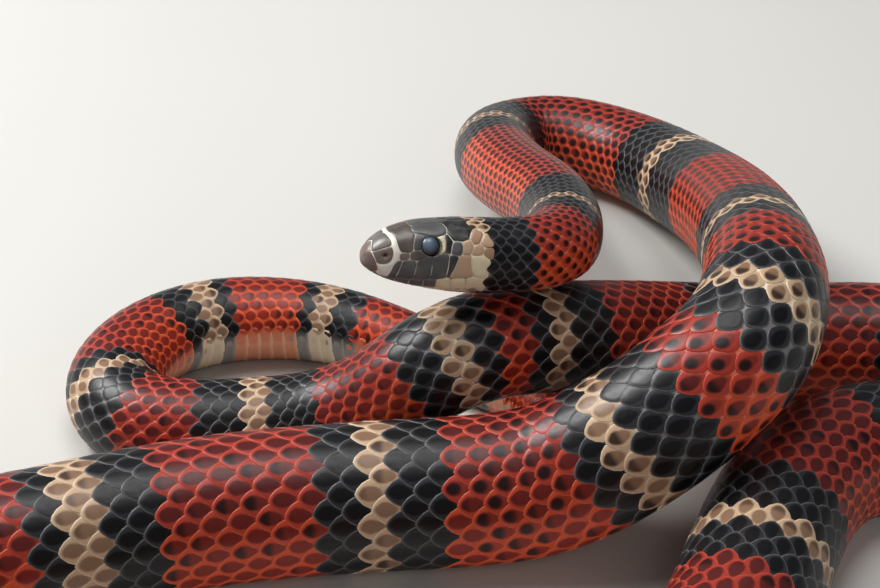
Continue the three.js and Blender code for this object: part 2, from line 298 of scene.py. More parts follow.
def band_at(along):
    """Which of the three colours the animal has at a distance from its snout."""
    behind = along - HEAD_LENGTH
    for middle, before, after, tan_half in rings:
        off = behind - middle
        if -before < off < after:
            around = float(np.interp(behind, run, girth))
            return TAN if abs(off) < tan_half * around else BLACK
    return RED


# The skin is one soft sheet over the whole animal. It shows as thin pale lines between the scales,
# widest where a bend stretches it, and gathers in small creases inside the tight bends.
MM = 0.001
SKIN_COLUMNS = 80
HEAD_RING_STEP = 0.4
BODY_RING_STEP = 1.3
MOUTH_LINE = [(0, -2.7), (1.2, -2.9), (5, -3.4), (8, -3.15), (14, -2.6), (17, -2.25), (21.5, -1.7)]
MOUTH_CORNER = 21.5
LIP_GROOVE = 0.45
LIP_GROOVE_HALF = 0.3
EYE_BACK = 11.7
EYE_AT = (HEAD_LENGTH - EYE_BACK, 4.1, 2.95)
SOCKET_RADIUS = 2.2
SOCKET_RIM = 1.3
SOCKET_DEPTH = 1.6


def mesh_of(name, points, faces, in_mm=True):
    """A new mesh object from points and faces."""
    mesh = bpy.data.meshes.new(name)
    mesh.from_pydata([tuple(p) for p in np.asarray(points, float) * (MM if in_mm else 1)], [], faces)
    mesh.validate()
    made = bpy.data.objects.new(name, mesh)
    bpy.context.collection.objects.link(made)
    return made


def give(mesh, name, values, kind="FLOAT"):
    """Stores one value, or one vector, for each point of the mesh."""
    attribute = mesh.attributes.new(name, kind, "POINT")
    field = "vector" if kind == "FLOAT_VECTOR" else "value"
    attribute.data.foreach_set(field, np.asarray(values, float).ravel())


head_alongs = np.arange(HEAD_RING_STEP / 2, HEAD_LENGTH, HEAD_RING_STEP)
body_alongs = np.arange(HEAD_LENGTH, TOTAL, BODY_RING_STEP)
alongs = np.concatenate([head_alongs, body_alongs, [TOTAL]])
shares = np.arange(SKIN_COLUMNS) / SKIN_COLUMNS - 0.5
skin_points = grid_of_skin(alongs, shares)

head_inverse = np.array(HEAD_TURN.inverted())
for row, along in enumerate(alongs):
    if along > HEAD_LENGTH:
        break
    local = (skin_points[row] - centre[0]) @ head_inverse.T
    if along < MOUTH_CORNER:
        off = (local[:, 2] - between(MOUTH_LINE, along)) / LIP_GROOVE_HALF
        groove = LIP_GROOVE * np.exp(-off**2) * min(1, along / 2)
        local[:, 1] -= np.sign(local[:, 1]) * np.minimum(groove, abs(local[:, 1]))
    reach = np.hypot(local[:, 0] - EYE_AT[0], local[:, 2] - EYE_AT[2]) / SOCKET_RADIUS
    sunk = SOCKET_DEPTH * np.clip(SOCKET_RIM - reach, 0, 1) ** 0.5 * (local[:, 2] > 0)
    local[:, 1] -= np.sign(local[:, 1]) * sunk
    skin_points[row] = centre[0] + local @ np.array(HEAD_TURN).T

snout_tip = centre[0] + np.array(HEAD_TURN @ Vector((HEAD_LENGTH, 0, -0.5)))
rows = len(alongs)
points = np.vstack([skin_points.reshape(-1, 3), [snout_tip], [skin_points[-1].mean(axis=0)]])
faces = []
for c in range(SKIN_COLUMNS):
    n = (c + 1) % SKIN_COLUMNS
    faces.append((rows * SKIN_COLUMNS, n, c))
    end = (rows - 1) * SKIN_COLUMNS
    faces.append((rows * SKIN_COLUMNS + 1, end + c, end + n))
    for r in range(rows - 1):
        a, b = r * SKIN_COLUMNS, (r + 1) * SKIN_COLUMNS
        faces.append((a + c, a + n, b + n, b + c))
skin = mesh_of("skin", points, faces)
skin.data.shade_smooth()
band_rows = np.repeat([band_at(a) for a in alongs], SKIN_COLUMNS)
give(skin.data, "band", np.concatenate([band_rows, [BLACK, BLACK]]))
give(skin.data, "share", np.concatenate([np.tile(shares, rows), [0, 0]]))
give(skin.data, "along", np.concatenate([np.repeat(alongs, SKIN_COLUMNS), [0, TOTAL]]))


class Wire:
    """A value on its way through a node tree. Plain arithmetic on it adds Math nodes."""

    def __init__(self, tree, socket):
        self.tree, self.socket = tree, socket

    def maths(self, operation, *values):
        return add_node(self.tree, "ShaderNodeMath", {"operation": operation}, dict(enumerate(values)))

    def __add__(self, other):
        return self.maths("ADD", self, other)

    def __sub__(self, other):
        return self.maths("SUBTRACT", self, other)

    def __rsub__(self, other):
        return self.maths("SUBTRACT", other, self)

    def __mul__(self, other):
        return self.maths("MULTIPLY", self, other)

    def __truediv__(self, other):
        return self.maths("DIVIDE", self, other)

    def __pow__(self, other):
        return self.maths("POWER", self, other)

    def __abs__(self):
        return self.maths("ABSOLUTE", self)

    __radd__, __rmul__ = __add__, __mul__


def add_node(tree, kind, settings=None, values=None, output=0):
    """Adds any node: its settings first, then the values or wires of its sockets."""
    node = tree.nodes.new(kind)
    for name, value in (settings or {}).items():
        setattr(node, name, value)
    for name, value in (values or {}).items():
        if isinstance(value, Wire):
            tree.links.new(value.socket, node.inputs[name])
        else:
            node.inputs[name].default_value = value
    return Wire(tree, node.outputs[output])


def parts(vector):
    """The x, y and z of a wire that carries a vector."""
    split = add_node(vector.tree, "ShaderNodeSeparateXYZ", {}, {0: vector})
    return [Wire(vector.tree, socket) for socket in split.socket.node.outputs]


def paint(red, green, blue):
    """A colour as the eye names it, 0 to 255, in the light values that a shader wants."""
    shares = (red / 255, green / 255, blue / 255)
    light = [s / 12.92 if s <= 0.04045 else ((s + 0.055) / 1.055) ** 2.4 for s in shares]
    return (*light, 1.0)


def read(tree, name, output="Fac"):
    return add_node(tree, "ShaderNodeAttribute", {"attribute_name": name}, output=output)


def ease(value, low, high):
    """0 below low, 1 above high, and smooth between."""
    return add_node(value.tree, "ShaderNodeMapRange", {"interpolation_type": "SMOOTHSTEP"},
                    {"Value": value, "From Min": low, "From Max": high})


def blend(share, first, second):
    """From the first colour to the second."""
    return add_node(share.tree, "ShaderNodeMix", {"data_type": "RGBA"}, {0: share, 6: first, 7: second},
                    output=2)


def noise(tree, scale, detail=2.0):
    place = add_node(tree, "ShaderNodeTexCoord", output="Object")
    return add_node(tree, "ShaderNodeTexNoise", {}, {"Vector": place, "Scale": scale, "Detail": detail})


def new_finish(name):
    """A new material, its node tree and its shader."""
    finish = bpy.data.materials.new(name)
    finish.use_nodes = True
    return finish, finish.node_tree, finish.node_tree.nodes["Principled BSDF"]


def connect(wire, shader, socket):
    wire.tree.links.new(wire.socket, shader.inputs[socket])


def bump(height, strength, distance):
    return add_node(height.tree, "ShaderNodeBump", {},
                    {"Height": height, "Strength": strength, "Distance": distance}, output="Normal")


skin_finish, tree, shader = new_finish("skin between the scales")
band = read(tree, "band")
low = ease(abs(read(tree, "share")), 0.26, 0.42)
red_skin = blend(low, paint(214, 104, 80), paint(222, 128, 98))
black_skin = blend(low, paint(118, 114, 113), paint(150, 144, 138))
skin_colour = blend(ease(band, 0.45, 0.55), red_skin, black_skin)
skin_colour = blend(ease(band, 1.45, 1.55), skin_colour, paint(222, 200, 172))
head_part = 1 - ease(read(tree, "along"), 17, 19)
snout_part = 1 - ease(read(tree, "along"), 5.4, 6.6)
from_crown = ease(abs(read(tree, "share")), 0.06, 0.15)
head_skin = blend(from_crown, paint(104, 98, 92), paint(196, 188, 174))
skin_colour = blend(head_part, skin_colour, head_skin)
skin_colour = blend(snout_part, skin_colour, paint(236, 230, 218))
connect(skin_colour, shader, "Base Color")
shader.inputs["Roughness"].default_value = 0.5
connect(bump(noise(tree, 1800), 0.3, 0.0002), shader, "Normal")
skin.data.materials.append(skin_finish)

flesh = [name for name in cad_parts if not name.startswith("eye")]
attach(skin, "root")
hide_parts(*flesh)

# The scales are smooth overlapping shields of horn, in twenty-one rows over the back and flanks.
# Each one is rooted in the skin at its front edge and lies over the root of the one behind it.
# They are bent over the body by a chart of it, unrolled by distance and share of the way round.
CHART_SHARES = (-0.56, 0.72)
CHART_COLUMNS = 108
CHART_TIP, CHART_HEAD_STEP, CHART_BODY_STEP = 0.02, 0.25, 1.0
chart_alongs = np.concatenate([
    [CHART_TIP], np.arange(CHART_HEAD_STEP, HEAD_LENGTH, CHART_HEAD_STEP),
    np.arange(HEAD_LENGTH, TOTAL, CHART_BODY_STEP), [TOTAL]])
chart_shares = np.linspace(*CHART_SHARES, CHART_COLUMNS)
chart_points = grid_of_skin(chart_alongs, chart_shares)
chart_rows = len(chart_alongs)
chart_faces = []
for r in range(chart_rows - 1):
    for c in range(CHART_COLUMNS - 1):
        here, behind = r * CHART_COLUMNS + c, (r + 1) * CHART_COLUMNS + c
        chart_faces.append((here, behind, behind + 1, here + 1))
chart = mesh_of("body_chart", chart_points.reshape(-1, 3), chart_faces)
lengthwise = np.gradient(chart_points, axis=0)
crosswise = np.gradient(chart_points, axis=1)
outward = unit(np.cross(crosswise, lengthwise))
outward[0] = np.array(HEAD_TURN @ Vector((1, 0, 0)))
give(chart.data, "outward", outward.reshape(-1, 3), "FLOAT_VECTOR")
chart_map = chart.data.uv_layers.new(name="chart")
grid_u = np.repeat(chart_alongs / TOTAL, CHART_COLUMNS)
grid_v = np.tile((chart_shares - CHART_SHARES[0]) / (CHART_SHARES[1] - CHART_SHARES[0]), chart_rows)
corners = np.empty(len(chart.data.loops), int)
chart.data.loops.foreach_get("vertex_index", corners)
chart_map.data.foreach_set("uv", np.column_stack([grid_u[corners], grid_v[corners]]).ravel())

# How much longer than the middle line the skin is at each place of the chart.
stretch = np.linalg.norm(lengthwise, axis=2) / np.gradient(chart_alongs)[:, None]


def stretch_at(along, share):
    column = np.interp(share, chart_shares, np.arange(CHART_COLUMNS))
    row = np.interp(along, chart_alongs, np.arange(chart_rows))
    return float(stretch[int(round(row)), int(round(column))])


# The side of the patch that one scale has on its piece's own unwrap.
PATCH = 0.003


def build_wrap_tree():
    """Places a copy of a shape at each point and bends it round the body, by the body's own chart."""
    tree = bpy.data.node_groups.new("laid over the body", "GeometryNodeTree")
    for name, kind in (("Roots", "Geometry"), ("Shape", "Object"), ("Body", "Object"),
                       ("Finish", "Material"), ("Patch", "Float")):
        tree.interface.new_socket(name, in_out="INPUT", socket_type="NodeSocket" + kind)
    tree.interface.new_socket("Coat", in_out="OUTPUT", socket_type="NodeSocketGeometry")
    inlet = tree.nodes.new("NodeGroupInput")
    given = {s.name: Wire(tree, s) for s in inlet.outputs if s.name}

    def named(name, kind="FLOAT"):
        return add_node(tree, "GeometryNodeInputNamedAttribute", {"data_type": kind}, {"Name": name})

    def vector(x, y, z):
        return add_node(tree, "ShaderNodeCombineXYZ", {}, {0: x, 1: y, 2: z})

    def vector_maths(operation, first, second, which=1):
        return add_node(tree, "ShaderNodeVectorMath", {"operation": operation}, {0: first, which: second})

    shape = add_node(tree, "GeometryNodeObjectInfo", {}, {"Object": given["Shape"]}, output="Geometry")
    body = add_node(tree, "GeometryNodeObjectInfo", {}, {"Object": given["Body"]}, output="Geometry")
    copies = add_node(tree, "GeometryNodeInstanceOnPoints", {},
                      {"Points": given["Roots"], "Instance": shape})
    real = add_node(tree, "GeometryNodeRealizeInstances", {}, {"Geometry": copies})

    x, y, z = parts(add_node(tree, "GeometryNodeInputPosition"))
    along = named("along") + x * named("long")
    share = named("share") + y * named("wide")
    low, high = CHART_SHARES
    spot = vector(along / TOTAL, (share - low) / (high - low), 0.0)
    chart_uv = named("chart", "FLOAT_VECTOR")

    def sampled(value):
        return add_node(tree, "GeometryNodeSampleUVSurface", {"data_type": "FLOAT_VECTOR"},
                        {"Mesh": body, "Value": value, "UV Map": chart_uv, "Sample UV": spot})

    place = sampled(add_node(tree, "GeometryNodeInputPosition"))
    out = sampled(named("outward", "FLOAT_VECTOR"))
    lift = vector_maths("SCALE", out, z * named("thick") * MM, which=3)
    px, py, pz = parts(vector_maths("ADD", place, lift))
    resting = vector(px, py, pz.maths("MAXIMUM", pz, 0.0))
    placed = add_node(tree, "GeometryNodeSetPosition", {}, {"Geometry": real, "Position": resting})

    # Length, share and outward make a left-handed frame, which turns the copies inside out.
    turned = add_node(tree, "GeometryNodeFlipFaces", {}, {0: placed})
    patch = vector_maths("ADD", named("root", "FLOAT_VECTOR"),
                         vector_maths("SCALE", named("spot", "FLOAT_VECTOR"), given["Patch"], which=3))
    mapped = add_node(tree, "GeometryNodeStoreNamedAttribute", {"data_type": "FLOAT2", "domain": "CORNER"},
                      {"Geometry": turned, "Name": "OFBake", "Value": patch})
    smooth = add_node(tree, "GeometryNodeSetShadeSmooth", {}, {0: mapped})
    finished = add_node(tree, "GeometryNodeSetMaterial", {},
                        {"Geometry": smooth, "Material": given["Finish"]})
    outlet = tree.nodes.new("NodeGroupOutput")
    tree.links.new(finished.socket, outlet.inputs[0])
    return tree


wrap_tree = build_wrap_tree()
wrap_inputs = {i.name: i.identifier for i in wrap_tree.interface.items_tree if i.in_out == "INPUT"}


def lay_over_body(name, roots, shape, finish):
    """Runs the wrap tree over the root points and keeps the result as a plain mesh."""
    base = mesh_of(name + "_roots", np.zeros((len(roots["along"]), 3)), [])
    for key, values in roots.items():
        give(base.data, key, values, "FLOAT_VECTOR" if np.ndim(values) == 2 else "FLOAT")
    wrap = base.modifiers.new("wrap", "NODES")
    wrap.node_group = wrap_tree
    for key, value in (("Shape", shape), ("Body", chart), ("Finish", finish), ("Patch", PATCH)):
        wrap[wrap_inputs[key]] = value
    evaluated = base.evaluated_get(bpy.context.evaluated_depsgraph_get())
    mesh = bpy.data.meshes.new_from_object(evaluated)
    mesh.name = name
    laid = bpy.data.objects.new(name, mesh)
    bpy.context.collection.objects.link(laid)
    bpy.data.objects.remove(base)
    return laid


def scale_shape(name, corners, power, levels, front, rear, crown):
    """A closed shield, rooted at x = 0, with heights in shares of the coat's depth.

    A power over 1 draws the outline to a lozenge, one under 1 to a box. The levels are rings of that
    outline from the sunk underside up to the crown: the size of each, and how far down it lies.
    """
    angle = 2 * math.pi * np.arange(corners) / corners
    flat = np.column_stack([np.sign(np.cos(angle)) * abs(np.cos(angle)) ** power,
                            np.sign(np.sin(angle)) * abs(np.sin(angle)) ** power]) / 2
    points, spots = [], []
    for size, depth in levels:
        for fx, fy in flat * size:
            x = fx + 0.5
            slope = front + (rear - front) * x
            points.append((x, fy, slope + crown * (1 - size**2) - depth))
            spots.append((x, fy + 0.5, 0))
    points.append((0.5, 0, front + (rear - front) / 2 + crown))
    spots.append((0.5, 0.5, 0))
    count = len(levels)
    faces = [tuple(reversed(range(corners)))]
    for k in range(corners):
        n = (k + 1) % corners
        for level in range(count - 1):
            a, b = level * corners, (level + 1) * corners
            faces.append((a + k, a + n, b + n, b + k))
        top = (count - 1) * corners
        faces.append((top + k, top + n, count * corners))
    made = mesh_of(name, points, faces, in_mm=False)
    give(made.data, "spot", spots, "FLOAT_VECTOR")
    return made


back_scale = scale_shape("back_scale", corners=14, power=1.34,
                         levels=[(1, 0.9), (1, 0.12), (0.94, 0.0), (0.6, 0.0)],
                         front=0.16, rear=0.66, crown=0.1)

# Distance behind the snout from which there are so many rows.
ROWS = [(0, 21), (HEAD_LENGTH + 1120, 19), (HEAD_LENGTH + 1158, 15), (HEAD_LENGTH + 1190, 13),
        (HEAD_LENGTH + 1225, 11), (HEAD_LENGTH + 1262, 9), (HEAD_LENGTH + 1300, 7)]
ROW_SPAN = 0.74
# Distance from row to row as a share of the girth, on a slender and on a stout body.
SLENDER_GIRTH, STOUT_GIRTH = 15, 27
SLENDER_SPACING, STOUT_SPACING = 0.172, 0.192
LEAST_SPACING = 1.5
OVERLAP = 1.16
WIDENING = 1.84
LEAST_STRETCH, MOST_STRETCH = 0.72, 1.6
UNEVENNESS = (0.97, 1.03)
# The first scales are thinner, those of the neck darker, and one red stretch of them more orange.
DARKNESS_SPREAD = 0.7
DUSKY_TO, DUSKY_FADE, DUSKIEST = 400, 100, 0.6
THIN_NAPE = (22, 27), (0.55, 1)
ORANGE_NECK = (62, 74, 112, 122), (1, 2, 2, 1)
FIRST_SCALE = 19.6
LAST_SCALE = TOTAL - 4
# Where the head plates leave off, up to each share of the way round.
HEAD_PLATES_END = [(0.09, 0), (0.15, 22.4), (0.3, 23.0), (0.5, 22.4)]
# The small scales of the throat, between the lower lips.
THROAT_SHARE, THROAT_COLUMN = 0.37, 0.0325
THROAT_FROM, THROAT_TO, THROAT_STEP = 13, 30, 2.4
THROAT_CREAM_TO = 21.3
THROAT_ROOT, THROAT_LONG, THROAT_WIDE, THROAT_THICK = 1.6, 3.1, 0.066, 0.24
LOWER_LIP_DEPTH = 0.058
THROAT_GAP = 0.012


def girth_at(along):
    return float(np.interp(along - HEAD_LENGTH, run, girth))


def spacing_at(along):
    stout = np.clip((girth_at(along) - SLENDER_GIRTH) / (STOUT_GIRTH - SLENDER_GIRTH), 0, 1)
    share = SLENDER_SPACING + (STOUT_SPACING - SLENDER_SPACING) * stout
    return max(LEAST_SPACING, girth_at(along) * share)


def lip_share(back, below):
    """The share of the way round at which the mouth line runs, or a place so far below it."""
    shares = np.linspace(0.15, 0.5, 141)
    high = ring_across(back, shares)[1]
    return float(np.interp(-between(MOUTH_LINE, back), -high, shares)) + below


chance = np.random.default_rng(7)
stations = [FIRST_SCALE]
while stations[-1] < LAST_SCALE:
    stations.append(stations[-1] + spacing_at(stations[-1]))
back_roots = []
for here, after in zip(stations, stations[1:]):
    count = [rows for at, rows in ROWS if here >= at][-1]
    width = ROW_SPAN / count
    step = after - here
    for row in range(-(count // 2), count // 2 + 1):
        share = row * width
        along = here + (row % 2) * step / 2
        if along < next(end for reach, end in HEAD_PLATES_END if abs(share) <= reach):
            continue
        true_step = step / float(np.clip(stretch_at(along, share), LEAST_STRETCH, MOST_STRETCH))
        long = OVERLAP * true_step * chance.uniform(*UNEVENNESS)
        wide = WIDENING * width * chance.uniform(*UNEVENNESS)
        thick = COAT_SHARE * girth_at(along) * np.interp(along, *THIN_NAPE)
        dusky = DUSKIEST * float(np.clip((DUSKY_TO - along) / DUSKY_FADE, 0, 1))
        darkness = min(1, chance.uniform() * DARKNESS_SPREAD + dusky)
        flank = share * np.interp(along, *ORANGE_NECK)
        back_roots.append((along - long / 2, share, long, wide, thick, band_at(along), darkness, flank))
for column, share in enumerate(np.arange(THROAT_SHARE, 1 - THROAT_SHARE + 0.01, THROAT_COLUMN)):
    for along in np.arange(THROAT_FROM + (column % 2) * THROAT_STEP / 2, THROAT_TO, THROAT_STEP):
        near = min(share, 1 - share)
        lip_end = lip_share(along, LOWER_LIP_DEPTH + THROAT_GAP)
        if near > (THROAT_SHARE if along > MOUTH_CORNER else lip_end):
            band = TAN if along < THROAT_CREAM_TO else BLACK
            back_roots.append((along - THROAT_ROOT, share, THROAT_LONG, THROAT_WIDE, THROAT_THICK, band,
                               chance.uniform(), near))
back_roots = np.array(back_roots)
ROOT_VALUES = ("along", "share", "long", "wide", "thick", "band", "chance", "flank")

# The pieces of the coat of back scales, each from one distance behind the snout to the next.
STRETCHES = [("neck", 0, 240), ("fore", 240, 420), ("side", 420, 640), ("middle", 640, 850),
             ("rear", 850, 1040), ("vent", 1040, 1190), ("tail", 1190, TOTAL)]

# A scale has a dark heart close to its tip, in a margin of the band's own colour and a paler rim.
scale_finish, tree, shader = new_finish("smooth horn scales")
x, y, _ = parts(read(tree, "spot", "Vector"))
band, flank, darkness = read(tree, "band"), abs(read(tree, "flank")), read(tree, "chance")
grain = noise(tree, 900)
back = (x - 0.6).maths("MAXIMUM", (x - 0.6) / 0.34, (x - 0.6) / -0.5)
from_heart = (back**1.7 + (abs(y - 0.5) / 0.3) ** 1.7) ** 0.588 + (grain - 0.5) * 0.25
heart = 1 - ease(from_heart, 0.68, 1.02)
rim = ease((abs(x * 2 - 1) ** 1.5 + abs(y * 2 - 1) ** 1.5) ** 0.667, 0.84, 0.97)
speck = ease(darkness, 0.2, 0.8)
tip = ease(x + speck * 0.26, 0.68, 0.9) * (1 - ease(from_heart, 0.6, 0.96))
dotted = ease(darkness, 0.6, 0.85)
from_dot = (abs(x - 0.66) / 0.24) ** 2.0 + (abs(y - 0.5) / 0.23) ** 2.0
dot = (1 - ease(from_dot, 0.3, 1.35)) * dotted * 0.95
mark = tip * (0.3 + speck * 0.66) * (1 - dotted) + dot
low = ease(flank, 0.1, 0.32)
under = ease(flank, 0.34, 0.42)
red_margin = blend(low, paint(152, 50, 38), paint(210, 80, 43))
red_heart = blend(low, paint(80, 24, 22), paint(134, 38, 25))
red = blend(heart * (1 - dotted * 0.4), red_margin, red_heart)
red = blend(mark, red, paint(15, 9, 9))
red_rim = blend(low, paint(194, 86, 64), paint(230, 114, 70))
red = blend(rim * 0.6 * (1 - dotted * 0.7), red, red_rim)
black = blend(heart, paint(42, 42, 45), paint(11, 11, 13))
black = blend(rim * 0.7, black, paint(108, 107, 107))
tan = blend(heart * 0.85, paint(182, 153, 124), paint(112, 82, 62))
tan = blend(tip * speck * 0.9, tan, paint(34, 24, 20))
tan = blend(rim * 0.6, tan, paint(220, 200, 172))
tan = blend(under, tan, paint(216, 200, 168))
colour = blend(ease(band, 0.45, 0.55), red, black)
colour = blend(ease(band, 1.45, 1.55), colour, tan)
connect(colour, shader, "Base Color")
connect(0.3 + grain * 0.14, shader, "Roughness")
shader.inputs["Specular IOR Level"].default_value = 0.3
connect(bump(noise(tree, 2600), 0.05, 0.0001), shader, "Normal")


def drawn_in(share, margin):
    """A place on the unwrap, drawn in from its borders by a margin."""
    return margin + (1 - 2 * margin) * share


def roots_of(rows, start, end, around):
    """The values of each root, and its place on the piece's own unwrap."""
    lengthwise = drawn_in((rows[:, 0] - start) / (end - start), 0.02)
    place = np.column_stack([lengthwise, around, np.zeros(len(rows))])
    return {**dict(zip(ROOT_VALUES, rows.T)), "root": place}


for name, start, end in STRETCHES:
    chosen = back_roots[(back_roots[:, 0] >= start) & (back_roots[:, 0] < end)]
    roots = roots_of(chosen, start, end, drawn_in((chosen[:, 1] + 0.5) % 1, 0.02))
    piece = lay_over_body(name + "_scales", roots, back_scale, scale_finish)
    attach(piece, "root")

# The belly is shod with wide overlapping plates, one behind another from the throat to the vent.
# Behind the vent they are in pairs. They carry the bands, paler than on the back.
belly_scale = scale_shape("belly_scale", corners=24, power=0.55,
                          levels=[(1, 0.9), (1, 0.1), (0.97, 0.0), (0.8, 0.0), (0.4, 0.0)],
                          front=0.3, rear=0.62, crown=0.06)
VENT = HEAD_LENGTH + 1165
FIRST_PLATE, LAST_PLATE = 29.0, LAST_SCALE - 4
BELLY_SPAN = 0.296
BELLY_OVERLAP, PAIR_OVERLAP = 1.22, 1.06
belly_roots = []
along = FIRST_PLATE
while along < LAST_PLATE:
    step = spacing_at(along)
    thick = COAT_SHARE * girth_at(along)
    wide, places = BELLY_SPAN, (0.5,)
    if along >= VENT:
        wide, places = BELLY_SPAN / 2 * PAIR_OVERLAP, (0.5 - BELLY_SPAN / 4, 0.5 + BELLY_SPAN / 4)
    for share in places:
        belly_roots.append((along, share, step * BELLY_OVERLAP, wide, thick, band_at(along + step / 2)))
    along += step
belly_roots = np.array(belly_roots)

belly_finish, tree, shader = new_finish("belly plates")
x, y, _ = parts(read(tree, "spot", "Vector"))
band = read(tree, "band")
rim = ease(x, 0.7, 1.0)
ends = ease(abs(y - 0.5), 0.22, 0.45)
red = blend(rim, blend(ends, paint(226, 150, 116), paint(214, 108, 74)), paint(240, 186, 152))
black = blend(rim, blend(ends, paint(140, 136, 132), paint(52, 51, 52)), paint(168, 162, 154))
tan = blend(rim, paint(226, 208, 178), paint(238, 226, 202))
colour = blend(ease(band, 0.45, 0.55), red, black)
colour = blend(ease(band, 1.45, 1.55), colour, tan)
connect(colour, shader, "Base Color")
connect(0.32 + noise(tree, 500) * 0.12, shader, "Roughness")
roots = roots_of(belly_roots, 0, TOTAL, belly_roots[:, 1])
belly = lay_over_body("belly_plates", roots, belly_scale, belly_finish)
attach(belly, "root")

# Large plates of smooth horn sheathe the head: shields over the crown, and a row of lip plates along
# each jaw. They are fixed to the skin, and each outline is grown until it meets its neighbours at a
# hair-thin seam. An outline gives mm back from the snout and shares of the way round from the crown.
HEAD_ROUND = 42
OUTLINE_STEP = 0.26
SEAM = 0.02
MEET_PASSES = 6
REACH = 0.9
MOST_MOVE = 0.25
PLATE_RISE = 0.12
PLATE_SUNK = 0.05
PLATE_EDGE = 0.24
PLATE_FLOOR = 0.4
PLATE_STEP = 0.42
PLATE_ROW_STEP = PLATE_STEP * 0.87
# Rings of points inside a plate's edge: how far in each is set, and the least that it keeps.
EDGE_RINGS = ((0.1, 0.09), (PLATE_EDGE, 0.22))
CLEAR_OF_EDGE = 0.36
# Each nostril is painted dark on the plates: painted shade in the dip of its opening.
NOSTRIL_RINGS, NOSTRIL_SLIMNESS, NOSTRIL_DARKNESS = (0.22, 0.45, 0.7, 1.0), 0.6, 0.9
EYE_ON_CHART = np.array([EYE_BACK, 0.172 * HEAD_ROUND])
EYE_OPENING = 2.0

GREY_PLATE, BROWN_PLATE, DARK_PLATE = paint(76, 76, 77), paint(80, 70, 65), paint(33, 33, 35)
NOSTRIL_SHADE_PAINT = paint(58, 24, 22)
SNOUT_PLATE, LIP_PLATE = paint(98, 93, 88), paint(84, 86, 89)
RED_PLATE, WHITE_PLATE, CREAM_PLATE = paint(112, 95, 88), paint(232, 226, 214), paint(222, 208, 174)
TAN_PLATE, BROWN_TAN_PLATE, BLUE_PLATE = paint(184, 152, 122), paint(158, 126, 100), paint(46, 48, 53)


def lip_edge(backs, below):
    return [(back, lip_share(back, below)) for back in backs]


# How far the lip plates keep from the mouth line, above and below it.
UPPER, LOWER = -0.004, 0.006
